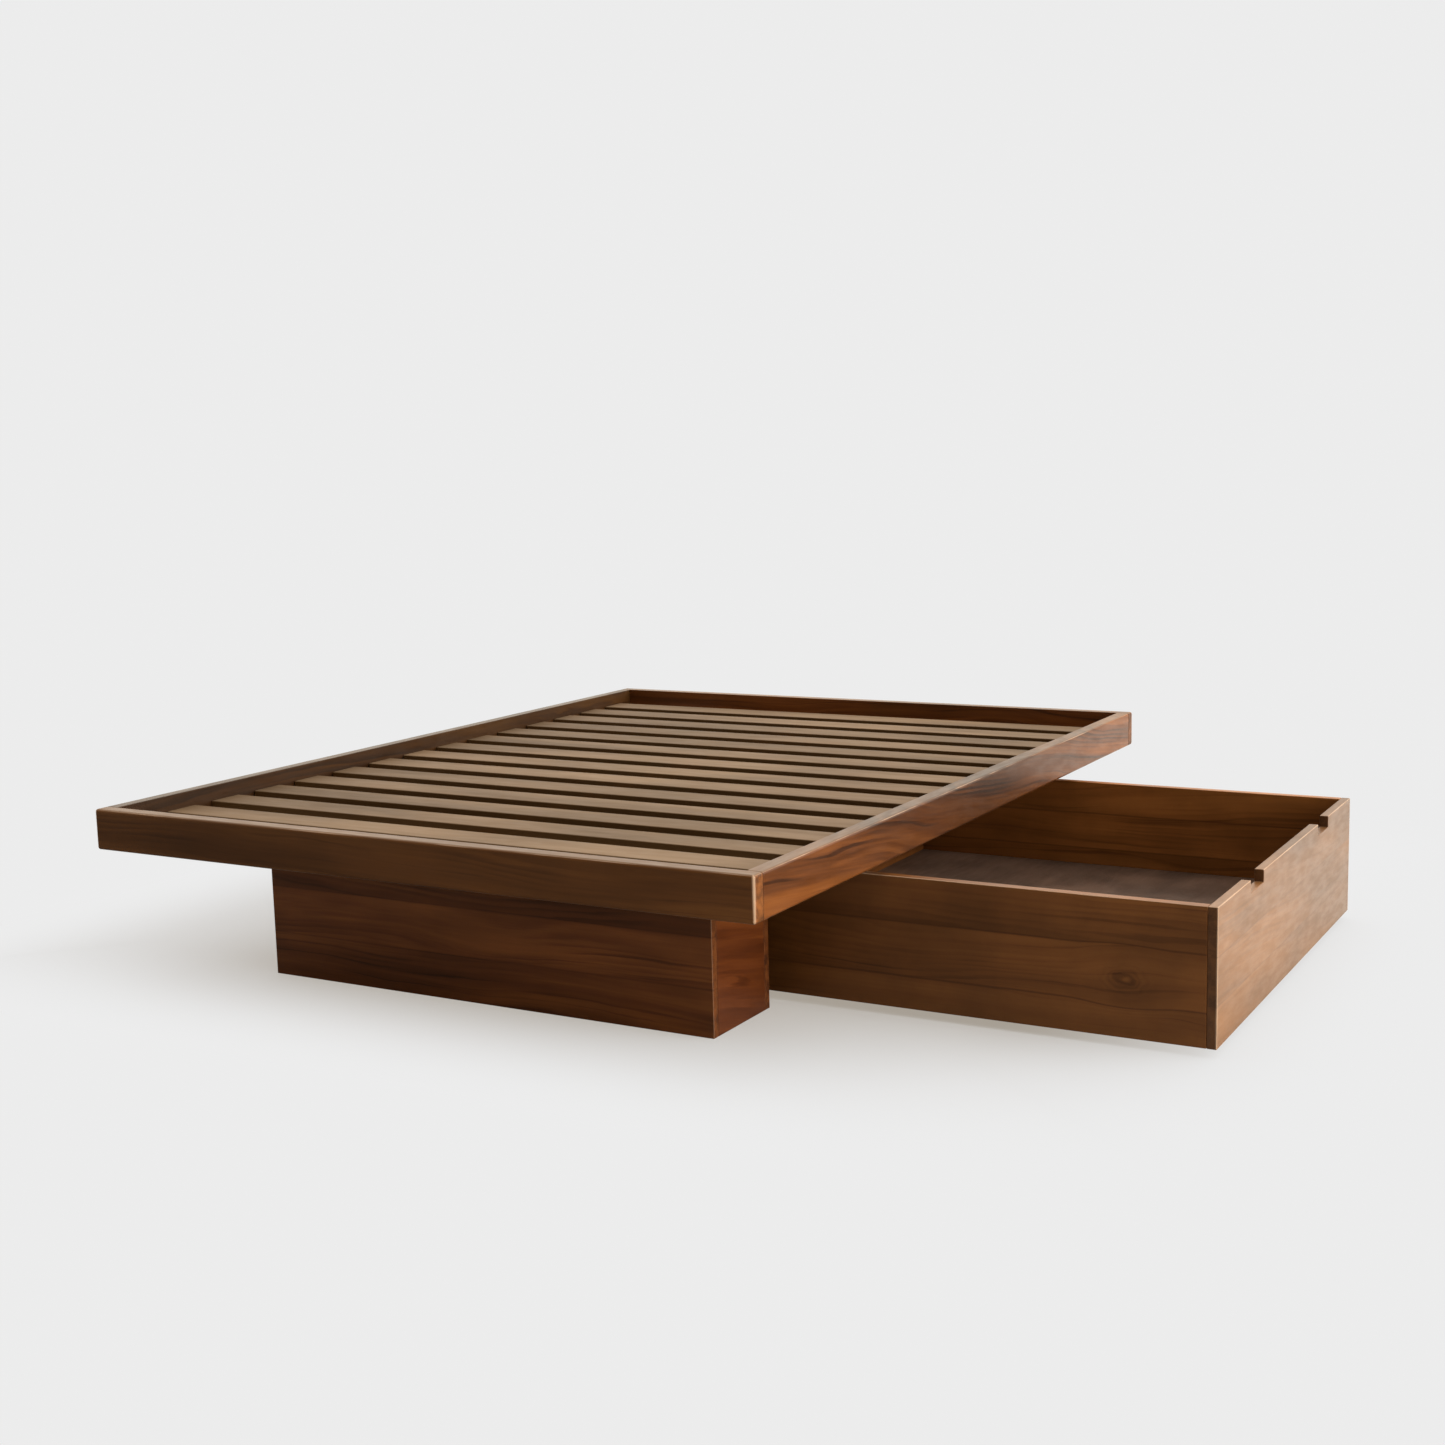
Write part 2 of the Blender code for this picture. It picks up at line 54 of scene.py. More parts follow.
class Shader:
    """Adds nodes to a material or a world with short calls."""

    def __init__(self, owner):
        owner.use_nodes = True
        self.owner = owner
        self.tree = owner.node_tree

    def put(self, socket, value):
        """Links the socket to another node's output, or sets it to a plain value."""
        if isinstance(value, bpy.types.NodeSocket):
            self.tree.links.new(value, socket)
        elif value is not None:
            socket.default_value = value

    def add(self, kind, *values, **settings):
        """A new node with its settings, and values for its first inputs."""
        node = self.tree.nodes.new(kind)
        for key, setting in settings.items():
            setattr(node, key, setting)
        for socket, value in zip(node.inputs, values):
            self.put(socket, value)
        return node

    def result(self, kind, *values, **settings):
        """The first output of such a node."""
        return self.add(kind, *values, **settings).outputs[0]

    def math(self, operation, a, b=None, clamp=False):
        return self.result("ShaderNodeMath", a, b, operation=operation, use_clamp=clamp)

    def vector(self, operation, a, b=None, scale=None):
        node = self.add("ShaderNodeVectorMath", a, b, operation=operation)
        if scale is not None:
            self.put(node.inputs["Scale"], scale)
        return node.outputs["Value" if operation in ("DOT_PRODUCT", "LENGTH") else "Vector"]

    def split(self, vector):
        return self.add("ShaderNodeSeparateXYZ", vector).outputs

    def join(self, x, y, z):
        return self.result("ShaderNodeCombineXYZ", x, y, z)

    def noise(self, vector, scale=1.0, detail=2.0, roughness=0.5, distortion=0.0):
        node = self.add("ShaderNodeTexNoise")
        self.put(node.inputs["Vector"], vector)
        self.put(node.inputs["Scale"], scale)
        self.put(node.inputs["Detail"], detail)
        self.put(node.inputs["Roughness"], roughness)
        self.put(node.inputs["Distortion"], distortion)
        return node.outputs["Fac"]

    def spread(self, value, low, high, to_low=0.0, to_high=1.0, smooth=True):
        """Maps low..high to to_low..to_high, held at the ends."""
        curve = "SMOOTHSTEP" if smooth else "LINEAR"
        numbers = (value, low, high, to_low, to_high)
        return self.result("ShaderNodeMapRange", *numbers, interpolation_type=curve)

    def mix(self, factor, a, b):
        node = self.add("ShaderNodeMix", data_type="RGBA")
        self.put(node.inputs["Factor"], factor)
        self.put(node.inputs["A"], a)
        self.put(node.inputs["B"], b)
        return node.outputs["Result"]

    def attribute(self, name):
        return self.add("ShaderNodeAttribute", attribute_type="OBJECT", attribute_name=name)

    def numbers(self, *names):
        """Values of the object's own number properties."""
        return [self.attribute(name).outputs["Fac"] for name in names]

    def triple(self, name):
        """One of the object's own properties of three numbers."""
        return self.attribute(name).outputs["Vector"]

    def bump(self, height, strength, distance):
        node = self.add("ShaderNodeBump")
        self.put(node.inputs["Strength"], strength)
        self.put(node.inputs["Distance"], distance)
        self.put(node.inputs["Height"], height)
        return node.outputs["Normal"]

    def finish(self, **values):
        """Sets the surface's values and gives back the material."""
        surface = self.tree.nodes["Principled BSDF"]
        for name, value in values.items():
            self.put(surface.inputs[name.replace("_", " ")], value)
        return self.owner


def new_material(name):
    return Shader(bpy.data.materials.new(name))


def rgba(red, green, blue):
    return (red, green, blue, 1.0)


def grey(level):
    return rgba(level, level, level)


# ---------------------------------------------------------------- wood


def board_space(s):
    """Position in the log a board was sawn from: x along the grain, y across the board, z through it."""
    position = s.add("ShaderNodeTexCoord").outputs["Object"]
    axes = [s.vector("DOT_PRODUCT", position, s.triple(f"grain_{k}")) for k in "uvw"]
    return position, s.join(*axes)


def stretched(s, log, along, across, detail=3.0, roughness=0.55, distortion=0.0):
    """Noise drawn out along the grain: its scales are repeats per metre along and across it."""
    return s.noise(s.vector("MULTIPLY", log, (along, across, across)), 1.0, detail, roughness, distortion)


def lamellas(s, flat):
    """(number of the glued strip, darkness of the nearest glue line)."""
    across = s.split(flat)[1]
    seams = s.split(s.triple("seams"))
    smudge = s.math("MULTIPLY", s.math("SUBTRACT", stretched(s, flat, 9.0, 40.0), 0.5), 0.004)
    number, line = 0.0, 0.0
    for seam in seams:
        offset = s.math("SUBTRACT", across, seam)
        number = s.math("ADD", s.math("GREATER_THAN", offset, 0.0), number)
        crisp = s.spread(s.math("ABSOLUTE", offset), 0.0003, 0.0010, 0.5, 0.0)
        soft = s.spread(s.math("ABSOLUTE", s.math("ADD", offset, smudge)), 0.0004, 0.0032, 0.7, 0.0)
        line = s.math("MAXIMUM", s.math("MAXIMUM", crisp, soft), line)
    return number, line


def parted(s, flat):
    """The board's space with the grain pushed aside round its knot."""
    offset = s.vector("SUBTRACT", flat, s.triple("knot"))
    distance = s.vector("LENGTH", s.vector("MULTIPLY", offset, (0.6, 1.0, 0.0)))
    pull = s.spread(distance, 0.0, 0.085, 0.55, 0.0)
    return s.vector("SUBTRACT", flat, s.join(0.0, s.math("MULTIPLY", s.split(offset)[1], pull), 0.0))


def knot_figure(s, flat):
    """Change of tone round the board's knot: dark rings about a paler heart."""
    offset = s.vector("SUBTRACT", flat, s.triple("knot"))
    offset = s.vector("MULTIPLY", offset, (0.62, 1.0, 0.0))
    uneven = s.noise(s.vector("SCALE", flat, scale=38.0), 1.0, 2.0, 0.5)
    uneven = s.math("MULTIPLY", s.math("SUBTRACT", uneven, 0.5), 0.020)
    distance = s.math("ADD", s.vector("LENGTH", offset), uneven)
    ring = s.math("SINE", s.math("MULTIPLY", distance, 620.0))
    ring = s.math("MULTIPLY", s.math("SUBTRACT", ring, 0.25), 0.13)
    ring = s.math("MULTIPLY", ring, s.spread(distance, 0.008, 0.040, 1.0, 0.0))
    rim = s.spread(s.math("ABSOLUTE", s.math("SUBTRACT", distance, 0.011)), 0.0, 0.005, -0.28, 0.0)
    heart = s.spread(distance, 0.001, 0.007, 0.20, 0.0)
    return s.math("ADD", s.math("ADD", ring, rim), heart)


def growth(s, log, ring_spacing):
    """(distance from the wandering heart of the log, darkness of the late wood in each ring)."""
    _, across, through = s.split(log)
    wander = s.math("MULTIPLY", s.math("SUBTRACT", stretched(s, log, 0.9, 1.6, 2.0), 0.5), 0.16)
    ripple = s.math("MULTIPLY", s.math("SUBTRACT", stretched(s, log, 3.5, 26.0), 0.5), 0.020)
    radius = s.vector("LENGTH", s.join(0.0, s.math("ADD", across, wander), through))
    radius = s.math("ADD", radius, ripple)
    ring = s.math("FRACT", s.math("DIVIDE", radius, ring_spacing))
    late = s.math("MULTIPLY", s.spread(ring, 0.15, 0.85), s.spread(ring, 0.85, 1.0, 1.0, 0.0))
    return radius, late


def ring_figure(s, log, ring_spacing, rings, streaks, lines):
    """Change of tone from the late wood and from streaks along the rings, a few thin and dark."""
    radius, late = growth(s, log, ring_spacing)
    along = s.split(log)[0]
    streak_space = s.join(s.math("MULTIPLY", along, 0.8), s.math("MULTIPLY", radius, 20.0), 0.0)
    streak = s.spread(s.noise(streak_space, 1.0, 3.0, 0.6, 0.25), 0.28, 0.72)
    line_space = s.join(s.math("MULTIPLY", along, 1.3), s.math("MULTIPLY", radius, 95.0), 5.0)
    line = s.spread(s.noise(line_space, 1.0, 2.0, 0.5, 0.3), 0.58, 0.68)
    patch = s.spread(stretched(s, log, 1.6, 11.0, 2.0), 0.42, 0.66)
    value = s.math("MULTIPLY", s.math("SUBTRACT", streak, 0.5), streaks)
    value = s.math("SUBTRACT", value, s.math("MULTIPLY", s.math("MULTIPLY", late, patch), rings))
    value = s.math("SUBTRACT", value, s.math("MULTIPLY", line, lines))
    mean_darkening = 0.20 * rings + 0.10 * lines
    return s.math("ADD", value, mean_darkening)


def board_brightness(s, position, log, strip, clouds):
    """Blotches of uneven stain, the shade of each glued strip, and painted light and shade along the board.
    """
    blotch = s.spread(stretched(s, log, 2.2, 7.0), 0.3, 0.7, 0.80, 1.17)
    cloud = s.noise(s.vector("SCALE", log, scale=7.0), 1.0, 4.0, 0.55)
    blotch = s.math("MULTIPLY", blotch, s.spread(cloud, 0.35, 0.65, 1.0 - clouds, 1.0 + clouds))
    shade = s.math("FRACT", s.math("MULTIPLY", s.math("ADD", strip, 0.37), 0.618))
    shade = s.spread(shade, 0.0, 1.0, 0.90, 1.09, smooth=False)
    grain_u, board_low = s.triple("grain_u"), s.triple("board_low")
    done = s.vector("DOT_PRODUCT", s.vector("SUBTRACT", position, board_low), grain_u)
    whole = s.vector("DOT_PRODUCT", s.vector("SUBTRACT", s.triple("board_high"), board_low), grain_u)
    share = s.math("DIVIDE", done, whole)
    # Painted light and shade: the brightness changes along the board.
    at_start, at_middle, at_end = s.split(s.triple("fade"))
    fade = s.spread(share, 0.0, 0.5, at_start, at_middle, smooth=False)
    rest = s.spread(share, 0.5, 1.0, 0.0, s.math("SUBTRACT", at_end, at_middle), smooth=False)
    fade = s.math("ADD", fade, rest)
    return s.math("MULTIPLY", s.math("MULTIPLY", blotch, shade), fade)


def end_grain(s, position, dark, light):
    """Mottled colour of the sawn ends."""
    speckle = s.noise(s.vector("SCALE", position, scale=420.0), 1.0, 3.0, 0.6)
    smear = s.noise(s.vector("SCALE", position, scale=45.0), 1.0, 3.0, 0.6)
    mottle = s.math("ADD", s.math("MULTIPLY", speckle, 0.4), smear)
    return s.mix(s.spread(mottle, 0.5, 0.9), dark, light)


def edge_wear_and_highlight(s, position, reach, corner_rub_and_highlight_reach):
    """How rubbed the nearest outer edge of the frame, plinths or drawer is, with a painted highlight along
    it, from 0 to 1.
    """
    to_low = s.vector("SUBTRACT", position, s.triple("outer_low"))
    to_high = s.vector("SUBTRACT", s.triple("outer_high"), position)
    x, y, z = s.split(s.vector("MINIMUM", to_low, to_high))
    corner = s.math("MAXIMUM", x, y)
    middle = s.math("MAXIMUM", s.math("MINIMUM", x, y), s.math("MINIMUM", corner, z))
    patchy = s.noise(s.vector("SCALE", position, scale=7.0), 1.0, 2.0, 0.5)
    uneven = s.spread(patchy, 0.3, 0.7, 0.75, 1.25)
    edge = s.math("DIVIDE", middle, s.math("MULTIPLY", uneven, reach))
    corner = s.math("DIVIDE", corner, s.math("MULTIPLY", uneven, corner_rub_and_highlight_reach))
    return s.math("SUBTRACT", 1.0, s.math("MINIMUM", edge, corner), clamp=True)


STRIP_SHIFT = (1.7, 0.043, 0.021)  # metres in the log from one glued strip to the next
RUBBED_AND_HIGHLIGHT = (0.64, 0.47, 0.34, 1.0)  # lacquer and stain worn thin on an edge, and a painted highlight there
PAINTED_PALE_COLOUR = (0.108, 0.057, 0.025)  # pale colour for painted sheen on the tops and painted light on a face
SLAT_SIDE_SHADE = (0.062, 0.031, 0.010, 1.0)  # painted shade on the sides of the slats, seen in the gaps between them


def wood(name, dark, middle, light, ring_spacing=0.011, rings=0.22, streaks=0.62, fibres=0.34,
         lines=0.25, roughness=0.38, specular=0.2, rub_and_highlight=0.40, rub_and_highlight_reach=0.0018, corner_rub_and_highlight_reach=0.0018,
         painted_side_shade=0.0, painted_top_sheen=0.0, clouds=0.0, pale_paint=PAINTED_PALE_COLOUR):
    """Stained and lacquered timber: growth rings in the solid, streaks, pores and worn edges, with painted
    highlights on the edges, painted sheen on the tops, faces painted paler as painted light, and painted
    shade on the slats' sides.
    """
    s = new_material(name)
    position, flat = board_space(s)
    slant, figure, glue_shade, bleach = s.numbers("slant", "figure", "glue", "bleach")
    part = parted(s, flat)
    strip, glue = lamellas(s, part)
    shift = s.vector("ADD", s.triple("log_shift"), s.vector("SCALE", STRIP_SHIFT, scale=strip))
    log = s.vector("ADD", part, shift)
    log = s.vector("ADD", log, s.join(0.0, s.math("MULTIPLY", s.split(flat)[0], slant), 0.0))
    facing = s.add("ShaderNodeTexCoord").outputs["Normal"]
    end = s.spread(s.math("ABSOLUTE", s.vector("DOT_PRODUCT", facing, s.triple("grain_u"))), 0.6, 0.9)
    bleach = s.math("MULTIPLY", bleach, s.math("SUBTRACT", 1.0, end))
    fibre = stretched(s, log, 5.0, 240.0, 4.0, 0.65)
    pore = s.spread(stretched(s, log, 80.0, 1300.0, 1.0), 0.66, 0.76)
    value = s.math("MULTIPLY", s.math("SUBTRACT", fibre, 0.5), fibres)
    value = s.math("ADD", value, ring_figure(s, log, ring_spacing, rings, streaks, lines))
    value = s.math("ADD", s.math("MULTIPLY", value, figure), 0.5)
    value = s.math("ADD", value, knot_figure(s, flat), clamp=True)
    low = s.mix(s.spread(value, 0.0, 0.5, smooth=False), dark, middle)
    colour = s.mix(s.spread(value, 0.5, 1.0, smooth=False), low, light)

    # The board's own tone, then paler colour painted on: painted sheen on the tops, painted light over a
    # whole face.
    brightness, extra_red, end_brightness = s.split(s.triple("tone"))
    colour = s.vector("MULTIPLY", colour, s.join(extra_red, 1.0, 1.0))
    upward = s.spread(s.split(facing)[2], 0.6, 0.9, 0.0, painted_top_sheen)
    sheen_and_light_colour = s.vector("SCALE", pale_paint, scale=s.spread(value, 0.0, 1.0, 0.7, 1.3, smooth=False))
    colour = s.mix(s.math("MAXIMUM", upward, bleach), colour, sheen_and_light_colour)
    gain = s.math("MULTIPLY", board_brightness(s, position, log, strip, clouds), brightness)
    colour = s.vector("SCALE", colour, scale=gain)

    # End grain, painted shade on the slats' sides, worn edges with a painted highlight, glue lines and
    # pores.
    end_colour = s.vector("SCALE", end_grain(s, position, dark, light), scale=end_brightness)
    colour = s.mix(s.math("MULTIPLY", end, 0.7), colour, end_colour)
    # Painted shade: the slats' long sides are darkened, as in the gaps between them.
    side = s.spread(s.math("ABSOLUTE", s.vector("DOT_PRODUCT", facing, s.triple("grain_v"))), 0.6, 0.9)
    colour = s.mix(s.math("MULTIPLY", side, painted_side_shade), colour, SLAT_SIDE_SHADE)
    worn_and_highlit = edge_wear_and_highlight(s, position, rub_and_highlight_reach, corner_rub_and_highlight_reach)
    colour = s.mix(s.math("MULTIPLY", worn_and_highlit, rub_and_highlight), colour, RUBBED_AND_HIGHLIGHT)
    colour = s.mix(s.math("MULTIPLY", glue, glue_shade), colour, dark)
    colour = s.mix(s.math("MULTIPLY", pore, 0.30), colour, dark)

    gloss = s.spread(stretched(s, log, 14.0, 60.0, 2.0), 0.25, 0.75, roughness - 0.04, roughness + 0.06)
    gloss = s.math("ADD", gloss, s.math("MULTIPLY", end, 0.10))
    height = s.math("SUBTRACT", s.math("MULTIPLY", fibre, 0.35), pore)
    height = s.math("SUBTRACT", height, s.math("MULTIPLY", glue, 0.8))
    return s.finish(Base_Color=colour, Roughness=gloss, Specular_IOR_Level=specular,
                    Normal=s.bump(height, 0.08, 0.0004))


# ---------------------------------------------------------------- boards

AXES = {"X": Vector((1, 0, 0)), "Y": Vector((0, 1, 0)), "Z": Vector((0, 0, 1))}
# The grain runs along a board's longest side, but in these along Y.
GRAIN_ALONG = {
    "foot_plinth_left_end": "Y",
    "foot_plinth_right_end": "Y",
    "head_plinth_left_end": "Y",
    "head_plinth_right_end": "Y",
}
# Heights of the glue lines as shares of the board's width, from its lower edge.
SEAMS = {
    "foot_plinth_front": (0.31, 0.64),
    "foot_plinth_back": (0.36, 0.70),
    "head_plinth_front": (0.29, 0.66),
    "head_plinth_back": (0.33, 0.62),
    "plinth_side_panel": (0.34, 0.69),
    "drawer_front": (0.30, 0.65),
    "drawer_back": (0.27, 0.68),
    "drawer_foot_side": (0.25, 0.66),
    "drawer_head_side": (0.38, 0.71),
}
# (brightness, extra red, brightness of the end grain) against the material's own colour.
TONES = {
    "foot_rail": (1.0, 0.84, 1.35),
    "right_side_rail": (0.95, 1.0, 1.0),
    # The left side rail is darker as painted shade on its inner face.
    "left_side_rail": (0.34, 0.80, 1.0),
    "foot_plinth_front": (1.25, 0.93, 0.85),
    "foot_plinth_back": (1.0, 1.0, 0.85),
    "foot_plinth_right_end": (0.88, 1.1, 1.0),
    # The drawer front is brighter as painted light.
    "drawer_front": (1.25, 0.93, 0.42),
    "drawer_head_side": (1.75, 0.97, 1.0),
    "drawer_foot_side": (0.97, 0.97, 1.0),
}
# Painted light and shade: brightness at the start, middle and end of the board along its grain.
NO_PAINTED_LIGHT = (1.0, 1.0, 1.0)
SLAT_PAINTED_SHADE = (0.80, 1.03, 1.0)  # painted shade, darker towards the left rail
PAINTED_LIGHT_ALONG_GRAIN = {
    "foot_rail": (0.80, 0.94, 1.08),
    "right_side_rail": (1.22, 0.42, 1.20),
    "foot_plinth_front": (0.95, 1.0, 1.05),
    "drawer_front": (1.22, 0.76, 0.72),
    "drawer_foot_side": (0.60, 0.95, 1.12),
    "drawer_head_side": (0.75, 0.95, 1.10),
}
# How strongly the grain is drawn, and the glue lines.
FIGURES = {
    "foot_rail": 0.6,
    "right_side_rail": 1.25,
    "foot_plinth_front": 0.85,
    "foot_plinth_right_end": 1.25,
    "drawer_front": 0.5,
    "drawer_foot_side": 0.55,
    "drawer_head_side": 0.7,
}
GLUE_LINES = {"drawer_front": 0.30, "drawer_foot_side": 0.95, "foot_plinth_front": 0.5}
# How far a whole face is painted paler, as painted light.
PAINTED_PALENESS = {"drawer_front": 0.50}
# How far the grain runs across the board, per metre along it.
SLANTS = {"right_side_rail": 0.13, "foot_plinth_right_end": 0.25, "drawer_front": 0.05}
KNOTS = {"drawer_foot_side": (0.855, 0.42)}  # shares of the board's length and width
MOST_SEAMS = 3  # glue lines that one property has room for
LOG_LENGTH = 40.0  # metres of figure that the boards are cut from
HEART_ACROSS = (0.03, 0.10)  # from a board's middle to the heart of its log, across the board
HEART_THROUGH = (0.02, 0.07)  # and through it
# What a board has that isn't named above.
USUAL_BRIGHTNESS = (0.90, 1.10)
USUAL_END_BRIGHTNESS = 0.8
USUAL_GLUE_LINE = 0.7
USUAL_SLANT = (-0.03, 0.03)


def outer_box(names):
    """Lowest and highest corner of the box round all these nodes, with no bottom edges to rub or give a
    painted highlight.
    """
    boxes = [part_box(name) for name in names]
    low = [min(box[0][axis] for box in boxes) for axis in range(3)]
    high = [max(box[1][axis] for box in boxes) for axis in range(3)]
    low[2] -= FAR_AWAY
    return low, high


def grain_axes(name, size):
    """Directions along the board's grain, across the board and through it."""
    order = sorted("XYZ", key=lambda axis: -size.dot(AXES[axis]))
    if name in GRAIN_ALONG:
        first = GRAIN_ALONG[name]
        order = [first] + [axis for axis in order if axis != first]
    return [AXES[axis] for axis in order]


def describe_board(name, node, outer, generator):
    """Stores on a board what its material reads: grain axes, place in the log, seams, knot, tone."""
    low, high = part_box(name)
    size = high - low
    u, v, w = grain_axes(name, size)
    middle = (low + high) / 2
    heart = generator.uniform(*HEART_ACROSS) * generator.choice((-1, 1))
    depth = generator.uniform(*HEART_THROUGH)
    shift = Vector((generator.uniform(0, LOG_LENGTH), heart, depth))
    shift -= Vector((0, middle.dot(v), middle.dot(w)))
    seams = [low.dot(v) + share * size.dot(v) for share in SEAMS.get(name, ())]
    seams += [FAR_AWAY] * (MOST_SEAMS - len(seams))
    knot_at = (FAR_AWAY, FAR_AWAY, 0)
    if name in KNOTS:
        share_u, share_v = KNOTS[name]
        knot_at = (low.dot(u) + share_u * size.dot(u), low.dot(v) + share_v * size.dot(v), 0)
    brightness = generator.uniform(*USUAL_BRIGHTNESS)
    tone = TONES.get(name, (brightness, 1.0, USUAL_END_BRIGHTNESS))
    facts = {
        "grain_u": u,
        "grain_v": v,
        "grain_w": w,
        "log_shift": shift,
        "seams": seams,
        "knot": knot_at,
        "tone": tone,
        "fade": PAINTED_LIGHT_ALONG_GRAIN.get(name, SLAT_PAINTED_SHADE if name.startswith("slat") else NO_PAINTED_LIGHT),
        "board_low": low,
        "board_high": high,
        "outer_low": outer[0],
        "outer_high": outer[1],
    }
    for key, value in facts.items():
        node[key] = [float(number) for number in value]
    node["slant"] = SLANTS.get(name, generator.uniform(*USUAL_SLANT))
    node["figure"] = FIGURES.get(name, 1.0)
    node["glue"] = GLUE_LINES.get(name, USUAL_GLUE_LINE)
    node["bleach"] = PAINTED_PALENESS.get(name, 0.0)


# ---------------------------------------------------------------- other materials


def zinc():
    s = new_material("zinc_plate")
    position = s.add("ShaderNodeTexCoord").outputs["Object"]
    cloud = s.noise(s.vector("SCALE", position, scale=90.0), 1.0, 4.0, 0.6)
    colour = s.mix(s.spread(cloud, 0.35, 0.65), rgba(0.44, 0.45, 0.46), rgba(0.62, 0.62, 0.60))
    scratch = s.noise(s.vector("MULTIPLY", position, (300.0, 2500.0, 2500.0)), 1.0, 2.0, 0.5)
    roughness = s.spread(scratch, 0.3, 0.7, 0.26, 0.44)
    return s.finish(Base_Color=colour, Metallic=1.0, Roughness=roughness,
                    Normal=s.bump(scratch, 0.08, 0.0002))


def moulded_plastic():
    s = new_material("wheel_plastic")
    position = s.add("ShaderNodeTexCoord").outputs["Object"]
    grit = s.noise(s.vector("SCALE", position, scale=900.0), 1.0, 2.0, 0.5)
    dust = s.noise(s.vector("SCALE", position, scale=60.0), 1.0, 4.0, 0.6)
    colour = s.mix(s.spread(dust, 0.45, 0.75), rgba(0.020, 0.020, 0.021), rgba(0.085, 0.082, 0.078))
    return s.finish(Base_Color=colour, Roughness=s.spread(dust, 0.3, 0.7, 0.42, 0.62),
                    Normal=s.bump(grit, 0.12, 0.0003))


DRAWER_STAIN = (rgba(0.050, 0.0165, 0.0042), rgba(0.120, 0.043, 0.0103), rgba(0.178, 0.068, 0.0175))


def make_looks():
    """A look for each material slot, and a paler, glossier one for the drawer's front alone, its paleness
    painted light.
    """
    return {
        # Rails: worn edges with a painted highlight, strongest on the vertical corners, and painted sheen
        # on the tops.
        "rail_wood": wood("rail_wood", rgba(0.034, 0.0105, 0.0028), rgba(0.096, 0.0300, 0.0070),
                          rgba(0.170, 0.058, 0.0135), rings=0.34, fibres=0.5, lines=0.30, rub_and_highlight=0.85,
                          rub_and_highlight_reach=0.0024, corner_rub_and_highlight_reach=0.0065, painted_top_sheen=0.85),
        # Slats: painted shade on their long sides.
        "slat_wood": wood("slat_wood", rgba(0.098, 0.065, 0.039), rgba(0.126, 0.086, 0.054),
                          rgba(0.155, 0.108, 0.070), rings=0.10, streaks=0.45, fibres=0.15, lines=0.14,
                          roughness=0.50, specular=0.03, rub_and_highlight=0.15, painted_side_shade=0.92),
        "plinth_wood": wood("plinth_wood", rgba(0.036, 0.0098, 0.0025), rgba(0.096, 0.0275, 0.0066),
                            rgba(0.175, 0.055, 0.0128), rings=0.28, lines=0.34, rub_and_highlight=0.22),
        "drawer_wood": wood("drawer_wood", *DRAWER_STAIN, rings=0.28, streaks=0.55, lines=0.36,
                            rub_and_highlight=0.55, corner_rub_and_highlight_reach=0.0035, clouds=0.10),
        # The drawer's front: painted paler as painted light, and glossier.
        "drawer_front": wood("drawer_front_painted_light_wood", *DRAWER_STAIN, rings=0.28, streaks=0.55, lines=0.36,
                             specular=0.33, rub_and_highlight=0.55, corner_rub_and_highlight_reach=0.0035, clouds=0.05,
                             pale_paint=(0.117, 0.057, 0.020)),
        "drawer_floor_wood": wood("drawer_floor_wood", rgba(0.046, 0.028, 0.020), rgba(0.068, 0.042, 0.031),
                                  rgba(0.096, 0.062, 0.047), rings=0.06, streaks=0.14, fibres=0.15,
                                  lines=0.05, roughness=0.42, clouds=0.22),
        "support_wood": wood("support_wood", rgba(0.150, 0.078, 0.036), rgba(0.260, 0.150, 0.076),
                             rgba(0.360, 0.225, 0.120), roughness=0.55, rub_and_highlight=0.10),
        "caster_steel": zinc(),
        "wheel_plastic": moulded_plastic(),
    }


# ---------------------------------------------------------------- edges

WOOD_ROUNDING = 0.0004
METAL_ROUNDING = 0.00025  # plastic too
WELD_DISTANCE = 0.00001
FLAT = math.radians(0.5)  # faces that meet at less than this become one
SHARP = math.radians(30)  # edges that turn by more than this are rounded


def weld_group():
    """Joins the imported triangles' corners and shades the surface smooth, for the bevels."""
    group = bpy.data.node_groups.new("weld_and_smooth", "GeometryNodeTree")
    group.interface.new_socket("Geometry", in_out="INPUT", socket_type="NodeSocketGeometry")
    group.interface.new_socket("Geometry", in_out="OUTPUT", socket_type="NodeSocketGeometry")
    start = group.nodes.new("NodeGroupInput")
    weld = group.nodes.new("GeometryNodeMergeByDistance")
    weld.inputs["Distance"].default_value = WELD_DISTANCE
    smooth = group.nodes.new("GeometryNodeSetShadeSmooth")
    end = group.nodes.new("NodeGroupOutput")
    group.links.new(start.outputs[0], weld.inputs["Geometry"])
    group.links.new(weld.outputs["Geometry"], smooth.inputs["Geometry"])
    group.links.new(smooth.outputs["Geometry"], end.inputs[0])
    return group


def round_edges(node, group, width):
    weld = node.modifiers.new("weld", "NODES")
    weld.node_group = group
    flatten = node.modifiers.new("merge_flats", "DECIMATE")
    flatten.decimate_type = "DISSOLVE"
    flatten.angle_limit = FLAT
    bevel = node.modifiers.new("rounded_edges", "BEVEL")
    bevel.width = width
    bevel.segments = 2
    bevel.limit_method = "ANGLE"
    bevel.angle_limit = SHARP
    weighted = node.modifiers.new("shading", "WEIGHTED_NORMAL")
    weighted.weight = 50


# ---------------------------------------------------------------- caster screws

PLATE_THICKNESS = 0.003
SCREW_REACH = (0.021, 0.025)  # from the middle of a caster plate to its screws, along X and Y
